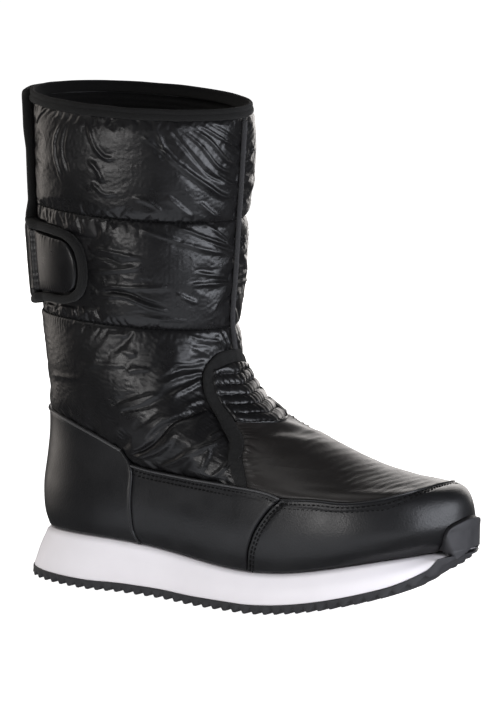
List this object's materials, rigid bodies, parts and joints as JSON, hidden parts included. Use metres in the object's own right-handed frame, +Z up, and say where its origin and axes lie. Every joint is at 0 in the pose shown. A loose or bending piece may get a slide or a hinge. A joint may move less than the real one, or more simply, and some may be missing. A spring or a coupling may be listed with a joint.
{
  "type": "costume boot",
  "caption": "Quilted pull-on boot with a padded shaft, leather-look foot panels, a back closing tab and a thick toothed wedge sole.",
  "frame": {"origin": "middle of the boot's bounding box, on the floor under the sole", "axes": "+X from heel to toe, +Y towards the wearer's other foot (inner side), +Z up the shaft"},
  "size_m": [0.3092, 0.117, 0.3038],
  "materials": {
    "nylon_black": "soft sheen",
    "leather_black": "satin",
    "felt_black": "matte",
    "knit_black": "matte",
    "lining_black": "matte",
    "foam_white": "matte",
    "rubber_black": "matte"
  },
  "bodies": {
    "root": {"outsole": "rubber_black", "midsole": "foam_white", "insole": "lining_black", "upper": "nylon_black", "toe_cap": "leather_black", "quarter_outer": "leather_black", "quarter_inner": "leather_black", "heel_counter": "leather_black", "vamp": "nylon_black", "instep_gusset": "nylon_black", "instep_tape": "felt_black", "front_seam": "nylon_black", "closure_flap": "nylon_black", "closure_tab": "nylon_black", "closure_binding": "knit_black", "collar_binding": "knit_black"}
  },
  "joints": []
}
